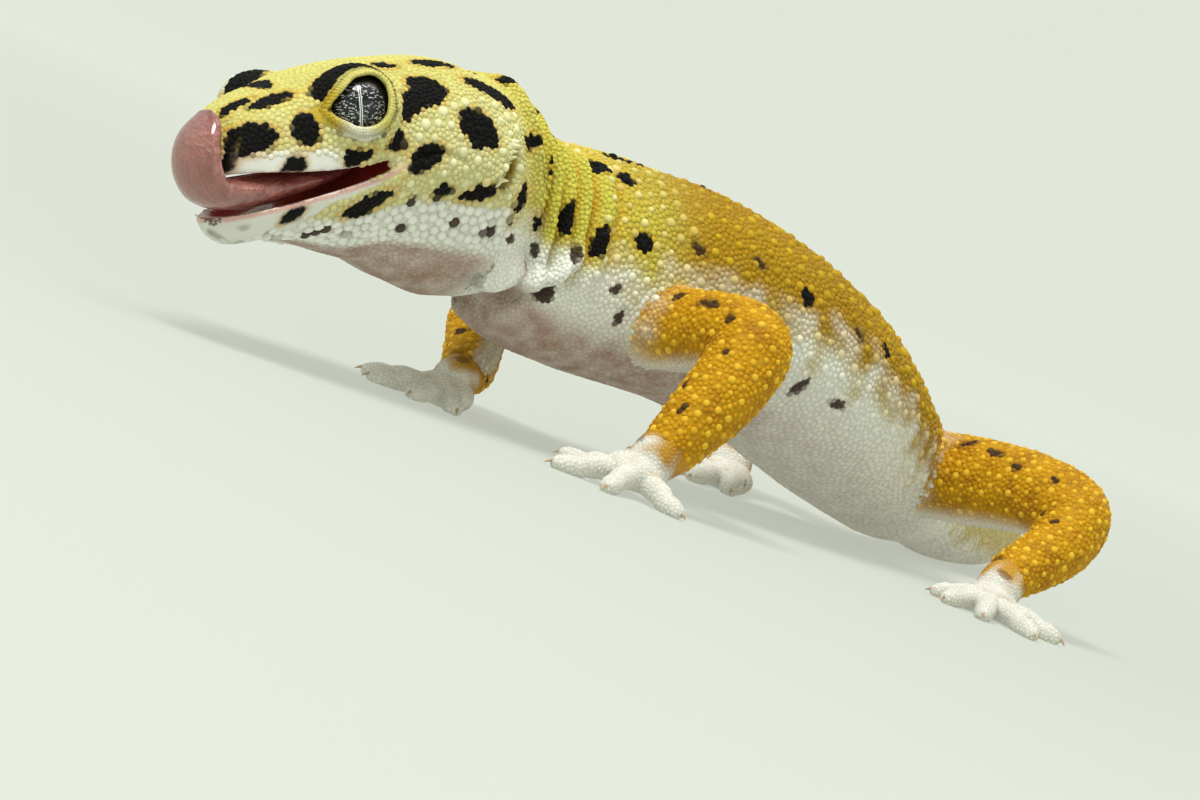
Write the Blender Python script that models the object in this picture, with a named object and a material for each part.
"""Leopard gecko, life size, standing with its head raised and its tongue over its snout.

Lengths are millimetres, and MM turns them into Blender's metres. The floor is z = 0.
Each part is one closed solid. Neighbouring parts are held apart by a thin cut.
"""

import math

import bmesh
import bpy
from mathutils import Matrix, Vector

MM = 0.001
CUT = 0.3  # the gap between neighbouring parts
CENTRE = (4.79, 46.87)  # middle of the bounding box on the floor, moved to the origin

# ---- sizes of the body -----------------------------------------------------------------------

SNOUT = Vector((-40.8, -36.7, 13.9))  # tip of the upper lip
HEAD_HEADING = -127.4  # degrees on the floor plan
HEAD_PITCH = -17.9  # nose down
HEAD_ROLL = 19.2  # left side up
HEAD_LENGTH = 33.5
NECK_SETTLED = 56.0  # where the body's sections stand square to its line again, after turning from the head's

# distance from the snout along the back, then the place of the body's middle line
SPINE = (
    (41.5, -15.8, -7.3, 20.2),
    (54.1, -6.1, 0.6, 18.4),
    (68.6, 4.8, 10.1, 17.9),
    (84.2, 15.8, 21.0, 15.8),
    (100.1, 24.8, 33.3, 11.6),
    (113.3, 30.9, 44.7, 8.6),
    (124.2, 34.7, 54.9, 7.4),
    (136.2, 38.5, 66.3, 6.8),
    (149.3, 42.5, 78.7, 6.3),
    (163.3, 45.1, 92.4, 5.3),
    (177.2, 45.7, 106.3, 4.0),
    (192.3, 43.7, 121.1, 2.4),
    (207.3, 39.5, 135.5, 1.2),
)
# distance, degrees that the left side is up
ROLL = ((33.5, HEAD_ROLL), (54.4, 14.0), (85.0, 7.0), (112.0, 0.0), (207.9, 0.0))
# distance, half width, height over the middle line, depth under it
BODY = (
    (33.5, 9.2, 7.4, 14.2),
    (37.5, 8.3, 7.3, 12.9),
    (41.6, 8.4, 8.2, 11.8),
    (47.0, 9.0, 9.6, 11.4),
    (54.4, 10.0, 10.8, 11.0),
    (64.0, 11.6, 11.2, 10.4),
    (75.0, 12.6, 10.8, 10.0),
    (86.0, 12.4, 9.8, 9.8),
    (98.0, 10.6, 8.8, 9.0),
    (108.0, 8.4, 7.8, 8.0),
    (116.0, 7.2, 6.8, 7.2),
    (124.0, 5.9, 5.6, 6.4),
    (130.0, 5.5, 5.2, 6.1),
    (141.0, 7.2, 6.2, 6.7),
    (151.0, 7.4, 6.2, 6.4),
    (165.0, 6.0, 5.2, 5.5),
    (179.0, 3.8, 3.5, 3.9),
    (193.0, 2.1, 2.0, 2.4),
    (207.9, 0.5, 0.5, 1.1),
)
BODY_SQUARENESS = 2.15  # 2 is an ellipse, more is boxier
# where the body is cut into lengths
LENGTHS = (
    ("neck", 33.5, 50.0),
    ("trunk_front", 50.0, 82.0),
    ("trunk_rear", 82.0, 118.0),
    ("tail_base", 118.0, 141.0),
    ("tail_middle", 141.0, 173.0),
    ("tail_tip", 173.0, 207.9),
)

# ---- sizes of the head -----------------------------------------------------------------------

# distance from the snout, half width at the lip, height of the crown over the mouth line, squareness
SKULL = (
    (0.0, 1.6, 2.8, 2.0),
    (0.5, 3.0, 4.3, 2.1),
    (1.8, 4.3, 5.7, 2.2),
    (4.5, 5.8, 6.8, 2.3),
    (8.0, 6.9, 7.6, 2.4),
    (12.0, 7.9, 8.4, 2.5),
    (15.5, 8.9, 9.0, 2.5),
    (20.0, 10.2, 9.3, 2.4),
    (24.5, 11.1, 9.3, 2.3),
    (27.5, 11.4, 8.9, 2.2),
    (30.5, 10.7, 8.0, 2.15),
    (33.5, 9.2, 7.4, 2.15),
)
# distance from the snout, half width, depth of the jaw, how much lower the throat hangs
JAW = (
    (0.3, 1.6, 2.2, 0.0),
    (0.9, 2.9, 3.1, 0.0),
    (2.3, 4.1, 3.5, 0.0),
    (5.0, 5.6, 3.7, 0.1),
    (8.0, 6.8, 4.1, 0.5),
    (12.0, 8.1, 4.9, 1.5),
    (16.0, 9.2, 5.6, 2.9),
    (18.0, 9.7, 6.0, 3.6),
    (22.0, 10.6, 6.8, 4.8),
    (26.5, 11.4, 8.2, 5.2),
    (30.0, 10.8, 9.8, 4.2),
    (33.5, 9.2, 12.4, 1.8),
)
JAW_SQUARENESS = 2.2
HINGE = 18.0  # distance from the snout where the lips part
GAPE = 10.5  # degrees that the lower jaw hangs open
PALATE_RISE = 1.5  # how high the roof of the mouth arches
FLOOR_DROP = 1.3  # how deep the floor of the mouth lies under the lip
LIP = 1.1  # thickness of the lips

EYE_AT = (13.5, 6.4, 4.6)  # back from the snout, out from the middle, up from the mouth line
EYE_RADIUS = 3.35
EYE_TURN = 28.0  # degrees that the eye looks forward of straight out
EYE_LIFT = 8.0  # degrees that it looks up
ORBIT_RADIUS = 4.25  # the mound round the eye
LID_HALF_THICKNESS = 0.48
# degrees round the eye from the front corner over the top, and the opening's reach from the eye's axis
OPENING = ((0, 3.05), (30, 2.75), (60, 2.62), (90, 2.62), (135, 2.66), (180, 2.7), (225, 2.55), (270, 2.36),
           (315, 2.5), (340, 2.8), (360, 3.05))
EAR_AT = (31.0, 10.2, -2.2)
EAR_RADII = (0.9, 1.3, 1.6)

# back from the snout, to the left, up from the mouth line, half width, half thickness
TONGUE = (
    (15.5, 0.0, -0.5, 2.8, 0.6),
    (10.0, 0.3, -1.1, 3.9, 0.95),
    (4.6, 0.9, -1.8, 3.5, 1.15),
    (0.9, 1.4, -2.0, 3.0, 1.2),
    (-1.2, 1.6, -1.5, 2.9, 1.35),
    (-2.2, 1.7, 0.2, 2.9, 1.5),
    (-2.1, 1.7, 2.2, 2.8, 1.4),
    (-1.2, 1.6, 4.0, 2.3, 1.0),
    (-0.5, 1.5, 4.9, 1.1, 0.5),
)

# ---- sizes of the legs -----------------------------------------------------------------------

# each row is a place on the limb's middle line and the radius there
FRONT_LEFT = (
    (-0.5, 0.4, 14.8, 4.4),
    (3.9, -4.5, 15.5, 4.2),
    (8.4, -9.4, 17.2, 3.9),
    (11.5, -12.5, 17.1, 3.9),
    (11.1, -14.1, 13.9, 3.9),
    (9.7, -15.8, 10.0, 3.6),
    (7.7, -17.6, 5.4, 2.9),
)
FRONT_RIGHT = (
    (-9.0, 4.5, 15.2, 4.3),
    (-11.4, 9.4, 12.9, 4.0),
    (-13.4, 13.7, 10.4, 3.7),
    (-14.1, 13.6, 8.4, 3.4),
    (-13.7, 10.0, 6.1, 3.1),
    (-13.3, 5.4, 4.2, 2.8),
    (-13.4, 1.4, 3.9, 2.4),
)
HIND_LEFT = (
    (32.9, 41.2, 9.4, 4.6),
    (39.3, 35.3, 11.2, 4.8),
    (45.7, 29.4, 12.6, 4.4),
    (49.6, 25.8, 12.2, 4.0),
    (49.4, 22.7, 9.2, 3.5),
    (47.2, 19.5, 6.4, 3.0),
    (44.9, 16.9, 4.2, 2.6),
)
HIND_RIGHT = (
    (29.0, 47.2, 9.2, 4.6),
    (23.2, 53.8, 10.8, 4.7),
    (18.6, 57.4, 11.8, 4.3),
    (15.4, 59.3, 11.0, 3.8),
    (15.3, 55.6, 8.8, 3.4),
    (15.6, 51.1, 6.2, 2.9),
    (15.4, 47.4, 4.0, 2.5),
)
# names, limb, row where it bends, palm's middle and height, heading of the middle toe
# then for each toe: turn from that heading, length, height of its tip
FEET = (
    (("upper_arm_left", "forearm_left", "hand_left"), FRONT_LEFT, 3, (5.6, -19.2), 2.3, 200.0,
     ((-100, 5.4, 2.4), (-45, 7.4, 0.6), (5, 7.8, 0.0), (55, 7.6, 0.0), (115, 7.0, 0.0))),
    (("upper_arm_right", "forearm_right", "hand_right"), FRONT_RIGHT, 2, (-14.4, -1.6), 1.5, 205.0,
     ((84, 5.4, 0.0), (44, 7.0, 0.0), (6, 7.8, 0.0), (-34, 7.8, 0.0), (-76, 6.4, 0.0))),
    (("thigh_left", "shin_left", "foot_left"), HIND_LEFT, 3, (44.0, 14.0), 1.5, 262.0,
     ((-62, 5.8, 0.0), (-28, 7.8, 0.0), (2, 9.4, 0.0), (34, 9.8, 0.0), (84, 7.4, 0.0))),
    (("thigh_right", "shin_right", "foot_right"), HIND_RIGHT, 3, (15.6, 44.0), 1.5, 215.0,
     ((62, 5.8, 0.0), (28, 7.8, 0.0), (-2, 9.4, 0.0), (-34, 9.8, 0.0), (-84, 7.4, 0.0))),
)
TOE_RADIUS = 0.95
CLAW_LENGTH = 1.3
PALM = (2.9, 2.6, 1.6)  # half sizes along the middle toe, across it and upright

# ---- smooth curves ---------------------------------------------------------------------------


def along(rows, at, free=False):
    """Values at a distance on a smooth curve through rows of (distance, value, value...).

    The curve never overshoots its rows, unless it is free, as a line through space is.
    """
    last = len(rows) - 1
    at = min(max(at, rows[0][0]), rows[last][0])
    k = 0
    while k < last - 1 and at > rows[k + 1][0]:
        k += 1
    span = rows[k + 1][0] - rows[k][0]
    t = (at - rows[k][0]) / span

    def slope(i, column):
        before = i - 1 if i > 0 else 0
        after = i + 1 if i < last else last
        lead = (rows[after][column] - rows[after - 1][column]) / (rows[after][0] - rows[after - 1][0])
        tail = (rows[before + 1][column] - rows[before][column]) / (rows[before + 1][0] - rows[before][0])
        if free:
            return (lead + tail) / 2
        return 0.0 if lead * tail <= 0 else 2 * lead * tail / (lead + tail)

    found = []
    for column in range(1, len(rows[0])):
        a, b = rows[k][column], rows[k + 1][column]
        start, end = slope(k, column) * span, slope(k + 1, column) * span
        found.append(
            a * (2 * t**3 - 3 * t**2 + 1) + start * (t**3 - 2 * t**2 + t)
            + b * (3 * t**2 - 2 * t**3) + end * (t**3 - t**2)
        )
    return found


def spread(start, end, count):
    """Evenly spaced values from start to end."""
    return [start + (end - start) * i / (count - 1) for i in range(count)]


def eased(start, end, at):
    """0 before start, 1 after end and an even rise between."""
    t = min(max((at - start) / (end - start), 0.0), 1.0)
    return t * t * (3 - 2 * t)


# ---- frames ----------------------------------------------------------------------------------


def frame_of(forward, roll):
    """Left and up for a forward direction, with the left side raised by roll degrees."""
    left = Vector((0, 0, 1)).cross(forward).normalized()
    up = forward.cross(left)
    turn = math.radians(roll)
    return left * math.cos(turn) + up * math.sin(turn), up * math.cos(turn) - left * math.sin(turn)


def head_axes():
    heading, pitch = math.radians(HEAD_HEADING), math.radians(HEAD_PITCH)
    level = math.cos(pitch)
    forward = Vector((math.cos(heading) * level, math.sin(heading) * level, math.sin(pitch)))
    left, up = frame_of(forward, HEAD_ROLL)
    return forward, left, up


FORWARD, LEFT, UP = head_axes()
BODY_LINE = tuple((s, *(SNOUT - FORWARD * s)) for s in (20.0, 32.5, 33.5, 34.8)) + SPINE


def on_head(back, out, up):
    """A place given back from the snout, out to the left and up from the mouth line."""
    return SNOUT - FORWARD * back + LEFT * out + UP * up


def on_body(distance, out, up):
    """A place given along the back, out to the left and up from the body's middle line."""
    middle = Vector(along(BODY_LINE, distance, free=True))
    ahead = Vector(along(BODY_LINE, distance - 0.5, free=True))
    behind = Vector(along(BODY_LINE, distance + 0.5, free=True))
    forward = (ahead - behind).normalized()
    forward = FORWARD.lerp(forward, eased(HEAD_LENGTH - 1, NECK_SETTLED, distance)).normalized()
    left, over = frame_of(forward, along(ROLL, distance)[0])
    return middle + left * out + over * up


def arc(angle, squareness):
    """A rounded square's side and height at an angle, for a half size of one."""
    c, s = math.cos(angle), math.sin(angle)
    power = 2 / squareness
    return math.copysign(abs(c) ** power, c), math.copysign(abs(s) ** power, s)


def eye_axis(side):
    turn, lift = math.radians(EYE_TURN), math.radians(EYE_LIFT)
    return (
        FORWARD * math.sin(turn) * math.cos(lift)
        + LEFT * side * math.cos(turn) * math.cos(lift)
        + UP * math.sin(lift)
    )


def swell_round_eyes(place):
    """Pushes a place on the head out to the mound that the eyes stand in."""
    for side in (1, -1):
        eye = on_head(EYE_AT[0], EYE_AT[1] * side, EYE_AT[2])
        reach = (place - eye).length
        swollen = (reach**7 + ORBIT_RADIUS**7) ** (1 / 7)
        place = eye + (place - eye) * (swollen / max(reach, 0.01))
    return place


# ---- making meshes ---------------------------------------------------------------------------

solids = bpy.data.collections.new("gecko")
cutters = bpy.data.collections.new("cutters")


def fresh_start():
    for thing in list(bpy.data.objects):
        bpy.data.objects.remove(thing, do_unlink=True)
    bpy.context.scene.collection.children.link(solids)
    bpy.context.scene.collection.children.link(cutters)


def mesh_of(name, places, faces):
    """A mesh in metres round the origin, with its faces turned outward."""
    mesh = bpy.data.meshes.new(name)
    moved = [((p[0] - CENTRE[0]) * MM, (p[1] - CENTRE[1]) * MM, p[2] * MM) for p in places]
    mesh.from_pydata(moved, [], faces)
    work = bmesh.new()
    work.from_mesh(mesh)
    bmesh.ops.recalc_face_normals(work, faces=work.faces)
    bmesh.ops.triangulate(work, faces=[f for f in work.faces if len(f.verts) > 4])
    work.to_mesh(mesh)
    work.free()
    return mesh


def loft(name, rings):
    """A closed skin through rings of equally many places, capped at both ends."""
    count = len(rings[0])
    places = [p for ring in rings for p in ring]
    faces = []
    for k in range(len(rings) - 1):
        for i in range(count):
            j = (i + 1) % count
            faces.append((k * count + i, k * count + j, (k + 1) * count + j, (k + 1) * count + i))
    faces.append(tuple(range(count)))
    faces.append(tuple(range((len(rings) - 1) * count, len(rings) * count)))
    return mesh_of(name, places, faces)


def ring_loft(name, rings):
    """A closed ring through small rings, the last joined to the first."""
    count = len(rings[0])
    places = [p for ring in rings for p in ring]
    total = len(rings)
    faces = []
    for k in range(total):
        for i in range(count):
            j = (i + 1) % count
            n = (k + 1) % total
            faces.append((k * count + i, k * count + j, n * count + j, n * count + i))
    return mesh_of(name, places, faces)


def globe(name, centre, radii, axes, around=16, rings=9):
    """An ellipsoid with its poles on the first axis."""
    first, second, third = axes
    places = [centre + first * radii[0]]
    for k in range(1, rings):
        lean = math.pi * k / rings
        for i in range(around):
            turn = 2 * math.pi * i / around
            places.append(
                centre + first * radii[0] * math.cos(lean)
                + second * radii[1] * math.sin(lean) * math.cos(turn)
                + third * radii[2] * math.sin(lean) * math.sin(turn)
            )
    places.append(centre - first * radii[0])
    faces = [(0, 1 + i, 1 + (i + 1) % around) for i in range(around)]
    for k in range(rings - 2):
        for i in range(around):
            a, b = 1 + k * around + i, 1 + k * around + (i + 1) % around
            faces.append((a, b, b + around, a + around))
    end = len(places) - 1
    faces += [(end, end - around + i, end - around + (i + 1) % around) for i in range(around)]
    return mesh_of(name, places, faces)


def stand(mesh, collection=solids):
    thing = bpy.data.objects.new(mesh.name, mesh)
    collection.objects.link(thing)
    if collection is cutters:
        thing.hide_render = True
        thing.display_type = "WIRE"
    return thing


def combine(thing, other, how):
    change = thing.modifiers.new(how.lower() + "_" + other.name, "BOOLEAN")
    change.operation = how
    change.solver = "EXACT"
    change.object = other


def coloured(thing, name, colour, roughness, coat=0.0):
    material = bpy.data.materials.new(thing.name + "_" + name)
    material.use_nodes = True
    shader = material.node_tree.nodes["Principled BSDF"]
    shader.inputs["Base Color"].default_value = (*colour, 1.0)
    shader.inputs["Roughness"].default_value = roughness
    shader.inputs["Coat Weight"].default_value = coat
    thing.data.materials.append(material)


def flesh(thing, colour=(0.72, 0.55, 0.12)):
    coloured(thing, "skin", colour, 0.6)


# ---- the trunk, neck and tail ----------------------------------------------------------------


def body_ring(distance, sides, more=0.0):
    half, over, under = along(BODY, distance)
    ring = []
    for i in range(sides):
        out, up = arc(2 * math.pi * i / sides, BODY_SQUARENESS)
        ring.append(on_body(distance, out * (half + more), up * ((over if up > 0 else under) + more)))
    return ring


def make_body():
    made = []
    for name, start, end in LENGTHS:
        if name != "neck":
            start += CUT / 2
        else:
            start += CUT
        stop = end - CUT / 2 if end < BODY[-1][0] else end
        sides = 24 if end <= 118 else 16
        rings = [body_ring(s, sides) for s in spread(start, stop, max(5, round((stop - start) / 3.6)))]
        thing = stand(loft(name, rings))
        flesh(thing)
        made.append(thing)
    return made


# ---- the head --------------------------------------------------------------------------------


def jaw_outline(back, share):
    """Out and down of the jaw and throat at a share of the way round from the left lip to the right."""
    half, depth, sag = along(JAW, back)
    out, down = arc(math.pi * share, JAW_SQUARENESS)
    hang = sag * max(math.cos(0.5 * math.pi * min(abs(out) / 0.82, 1.0)), 0.0) ** 1.1
    return out * half, max(down, 0.0) * depth + hang


def skull_ring(back, over_steps, under_steps):
    """The head's outline, closed by the palate before the hinge and by the throat behind it."""
    half, crown, squareness = along(SKULL, back)
    ring = []
    for i in range(over_steps + 1):
        out, up = arc(math.pi * i / over_steps, squareness)
        place = on_head(back, out * half, max(up, 0.0) * crown)
        ring.append(swell_round_eyes(place) if 0 < i < over_steps else place)
    inside = max(half - LIP, 0.3)
    rise = PALATE_RISE * eased(0.5, 4.0, back) * (1 - eased(HINGE - 4, HINGE, back))
    for i in range(1, under_steps):
        if back < HINGE:
            across = -1 + 2 * i / under_steps
            ring.append(on_head(back, across * inside, rise * min(1.0, 1.6 * (1 - across * across))))
        else:
            out, down = jaw_outline(back, 1 - i / under_steps)
            ring.append(on_head(back, out, -down))
    return ring


def jaw_ring(back, over_steps, under_steps):
    """The lower jaw's outline, swung down round the hinge and closed by the floor of the mouth."""
    open_by = math.radians(GAPE)
    top_back = HINGE - (HINGE - back) * math.cos(open_by)
    top_up = -CUT - (HINGE - back) * math.sin(open_by)
    tilt = open_by * (1 - eased(8.0, HINGE - 1.0, back))
    drop = FLOOR_DROP * eased(0.6, 4.0, back) * (1 - eased(HINGE - 4, HINGE, back))

    def place(out, down):
        return on_head(top_back + down * math.sin(tilt), out, top_up - down * math.cos(tilt))

    half = along(JAW, back)[0]
    ring = []
    for i in range(over_steps + 1):
        out, down = jaw_outline(back, i / over_steps)
        ring.append(place(out, down * (1 - CUT / max(down, 3.0))))
    inside = max(half - LIP, 0.3)
    for i in range(1, under_steps):
        across = -1 + 2 * i / under_steps
        ring.append(place(across * inside, drop * min(1.0, 1.6 * (1 - across * across))))
    return ring


def make_head():
    stations = (0.0, 0.5, 1.8, 4.0, 6.5, 9.0, 11.0, 12.8, 14.6, 16.4, HINGE - 0.01, HINGE, 20.4, 23.0, 25.6,
                28.0, 30.0, 31.8, HEAD_LENGTH)
    head = stand(loft("head", [skull_ring(s, 16, 10) for s in stations]))
    flesh(head, (0.75, 0.66, 0.2))
    stations = (0.3, 0.9, 2.3, 4.4, 7.0, 9.6, 12.2, 15.0, HINGE - CUT)
    jaw = stand(loft("lower_jaw", [jaw_ring(s, 14, 8) for s in stations]))
    flesh(jaw, (0.8, 0.74, 0.6))
    return head


def lid_lean(turn):
    """Degrees between the eye's axis and the middle of its lid, at a turn round from the front corner."""
    reach = along(OPENING, turn)[0] + LID_HALF_THICKNESS
    return math.degrees(math.asin(min(reach / (EYE_RADIUS + CUT + LID_HALF_THICKNESS), 0.97)))


def eye_frame(side):
    """The eye's middle, its axis, and the directions to its front corner and over it."""
    axis = eye_axis(side)
    front = (FORWARD - axis * FORWARD.dot(axis)).normalized()
    over = (UP - axis * UP.dot(axis) - front * UP.dot(front)).normalized()
    return on_head(EYE_AT[0], EYE_AT[1] * side, EYE_AT[2]), axis, front, over


def off_axis(frame, lean, turn):
    """A direction from the eye, leaning from its axis at a turn round it."""
    _, axis, front, over = frame
    lean, turn = math.radians(lean), math.radians(turn)
    return axis * math.cos(lean) + (front * math.cos(turn) + over * math.sin(turn)) * math.sin(lean)


def lid_ring(side, steps=18, sides=6):
    """The rounded rim of the eyelids, standing on the eye round its opening."""
    frame = eye_frame(side)
    shell = EYE_RADIUS + CUT + LID_HALF_THICKNESS
    rings = []
    for k in range(steps):
        turn = 360 * k / steps
        outward, along_lid = off_axis(frame, lid_lean(turn), turn), off_axis(frame, lid_lean(turn) + 90, turn)
        rings.append([
            frame[0] + outward * (shell + LID_HALF_THICKNESS * math.cos(2 * math.pi * i / sides))
            + along_lid * LID_HALF_THICKNESS * 1.15 * math.sin(2 * math.pi * i / sides)
            for i in range(sides)
        ])
    return rings


def socket_rings(side, steps=18):
    """The room for an eye and its lids: a ball behind, and a cone through the opening in front."""
    frame = eye_frame(side)
    ball = EYE_RADIUS + CUT
    clear = math.degrees((LID_HALF_THICKNESS * 1.15 + CUT + 0.05) / (ball + LID_HALF_THICKNESS))
    rings = []
    for share, reach in ((1.0, ball), (0.84, ball), (0.66, ball), (0.45, ball), (0.22, ball), (0.0, ball),
                         (0.0, 5.3), (-0.5, 5.6), (-0.95, 5.6)):
        ring = []
        for k in range(steps):
            turn = 360 * k / steps
            edge = lid_lean(turn) + clear
            lean = edge + (176 - edge) * share if share >= 0 else edge * (1 + share)
            ring.append(frame[0] + off_axis(frame, lean, turn) * reach)
        rings.append(ring)
    return rings


def make_eyes(head):
    for side, word in ((1, "left"), (-1, "right")):
        middle, axis, front, over = eye_frame(side)
        ball = stand(globe("eye_" + word, middle, (EYE_RADIUS - 0.03,) * 3, (axis, front, over), 14, 8))
        coloured(ball, "eye", (0.35, 0.36, 0.36), 0.1, 1.0)
        lids = stand(ring_loft("eyelids_" + word, lid_ring(side)))
        flesh(lids, (0.85, 0.8, 0.4))
        combine(head, stand(loft("socket_" + word, socket_rings(side)), cutters), "DIFFERENCE")
        hole = on_head(EAR_AT[0], EAR_AT[1] * side, EAR_AT[2])
        ear = globe("ear_" + word, hole, EAR_RADII, (LEFT, FORWARD, UP), 8, 5)
        combine(head, stand(ear, cutters), "DIFFERENCE")


def make_tongue():
    rows = tuple((k, *row) for k, row in enumerate(TONGUE))
    rings = []
    for at in spread(0, len(TONGUE) - 1, 14):
        back, out, up, half, thick = along(rows, at, free=True)
        ahead = along(rows, min(at + 0.1, len(TONGUE) - 1), free=True)
        behind = along(rows, max(at - 0.1, 0), free=True)
        run = (on_head(*ahead[:3]) - on_head(*behind[:3])).normalized()
        over = run.cross(LEFT).normalized()
        aside = over.cross(run)
        middle = on_head(back, out, up)
        turns = [2 * math.pi * i / 12 for i in range(12)]
        rings.append([middle + aside * half * math.cos(a) + over * thick * math.sin(a) for a in turns])
    tongue = stand(loft("tongue", rings))
    coloured(tongue, "wet", (0.7, 0.36, 0.36), 0.25, 0.6)


# ---- the legs --------------------------------------------------------------------------------


def tube_rings(rows, stops, sides, more=0.0):
    """Rings round a limb's middle line at stops counted in rows."""
    counted = tuple((k, *row) for k, row in enumerate(rows))
    rings = []
    before = None
    for at in stops:
        x, y, z, radius = along(counted, at, free=True)
        ahead = Vector(along(counted, min(at + 0.05, len(rows) - 1), free=True)[:3])
        behind = Vector(along(counted, max(at - 0.05, 0), free=True)[:3])
        run = (ahead - behind).normalized()
        aside = before - run * before.dot(run) if before else run.orthogonal()
        aside.normalize()
        before = aside
        rings.append(circle(Vector((x, y, z)), aside, run.cross(aside), radius + more, sides))
    return rings


def circle(middle, aside, over, radius, sides):
    turns = [2 * math.pi * i / sides for i in range(sides)]
    return [middle + aside * radius * math.cos(a) + over * radius * math.sin(a) for a in turns]


def shrunk(ring, share):
    middle = sum(ring, Vector()) / len(ring)
    return [middle + (p - middle) * share for p in ring]


def rounded(rings):
    """Rings with a dome added at the last one."""
    end = sum(rings[-1], Vector()) / len(rings[-1])
    run = (end - sum(rings[-2], Vector()) / len(rings[-2])).normalized()
    radius = (rings[-1][0] - end).length
    dome = []
    for lean in (20, 40, 60, 80):
        rise, share = radius * math.sin(math.radians(lean)), math.cos(math.radians(lean))
        dome.append([end + (p - end) * share + run * rise for p in rings[-1]])
    return rings + dome


def toe_rows(palm, heading, toe):
    """A toe from inside the palm over its knuckle to the floor, with its claw."""
    turn, length, lift = toe
    angle = math.radians(heading + turn)
    run = Vector((math.cos(angle), math.sin(angle), 0))
    low = TOE_RADIUS - 0.2
    rows = []
    knuckle = low * 0.6 + palm.z * 0.3 + 0.3
    for share, height, size in ((0.2, max(palm.z * 0.8, low), 1.02), (0.56, knuckle, 0.98), (0.84, low, 0.88),
                                (1.0, low - 0.2, 0.64)):
        rows.append((palm.x + run.x * length * share, palm.y + run.y * length * share,
                     height + lift * share**3, TOE_RADIUS * size))
    for more, height, size in ((0.5, 0.42, 0.32), (1.0, 0.12, 0.09)):
        reach = length + CLAW_LENGTH * more
        rows.append((palm.x + run.x * reach, palm.y + run.y * reach, height + lift, size))
    return rows


def make_legs(trunk_cutter, floor_cutter):
    for names, rows, bend, palm, palm_height, heading, toes in FEET:
        upper_rows, lower_rows = rows[: bend + 1], rows[bend:]
        upper = stand(loft(names[0], rounded(tube_rings(upper_rows, spread(0, bend, 7), 12))))
        joint_rings = tube_rings(upper_rows, spread(0, bend, 7), 12, CUT * 1.2)
        joint = stand(loft(names[0] + "_joint", rounded(joint_rings)), cutters)
        last = len(lower_rows) - 1
        lower_rings = tube_rings(lower_rows, spread(0, last, 8), 12)
        lower_rings[0] = shrunk(lower_rings[0], 0.8)
        lower = stand(loft(names[1], lower_rings))
        combine(upper, trunk_cutter, "DIFFERENCE")
        combine(lower, joint, "DIFFERENCE")
        flesh(upper)
        flesh(lower)

        run = Vector((math.cos(math.radians(heading)), math.sin(math.radians(heading)), 0))
        across = Vector((0, 0, 1)).cross(run)
        middle = Vector((palm[0], palm[1], palm_height))
        hand = stand(globe(names[2], middle, PALM, (run, across, Vector((0, 0, 1))), 10, 6))
        wrist, before = Vector(rows[-1][:3]), Vector(rows[-2][:3])
        away = (wrist - before).normalized()
        heel_rows = ((*wrist, rows[-1][3]), (*(wrist * 0.45 + middle * 0.55), 2.2), (*middle, 1.3))
        heel = tube_rings(heel_rows, (0, 1, 2), 8)
        heel[0] = [p + away * (CUT - away.dot(p - wrist)) for p in heel[0]]
        pieces = [stand(loft(names[2] + "_heel", heel), cutters)]
        for k, toe in enumerate(toes):
            rings = tube_rings(toe_rows(middle, heading, toe), range(6), 6)
            pieces.append(stand(loft(names[2] + "_toe_%d" % (k + 1), rings), cutters))
        for piece in pieces:
            combine(hand, piece, "UNION")
        wrist_rings = cap_past(tube_rings(lower_rows, spread(0, last, 8), 12, CUT), CUT)
        clearance = stand(loft(names[2] + "_wrist", wrist_rings), cutters)
        combine(hand, clearance, "DIFFERENCE")
        combine(hand, floor_cutter, "DIFFERENCE")
        flesh(hand, (0.85, 0.8, 0.68))


def cap_past(rings, more):
    """Rings whose last one is carried on by a little."""
    ends = [sum(ring, Vector()) / len(ring) for ring in rings[-2:]]
    run = (ends[1] - ends[0]).normalized()
    return rings[:-1] + [[p + run * more for p in rings[-1]]]


def make_floor_cutter():
    sides = ((-90, -60), (90, -60), (90, 180), (-90, 180))
    corners = [Vector((x, y, z)) for z in (-10.0, 0.0) for x, y in sides]
    faces = [(0, 1, 2, 3), (4, 5, 6, 7), (0, 1, 5, 4), (1, 2, 6, 5), (2, 3, 7, 6), (3, 0, 4, 7)]
    return stand(mesh_of("floor_cutter", corners, faces), cutters)


def main():
    fresh_start()
    floor_cutter = make_floor_cutter()
    trunk_cutter = stand(loft("trunk_cutter", [body_ring(s, 24, CUT) for s in spread(34, 132, 28)]), cutters)
    for length in make_body():
        if length.name.startswith("tail") or length.name == "trunk_rear":
            combine(length, floor_cutter, "DIFFERENCE")
    head = make_head()
    make_eyes(head)
    make_tongue()
    make_legs(trunk_cutter, floor_cutter)


main()
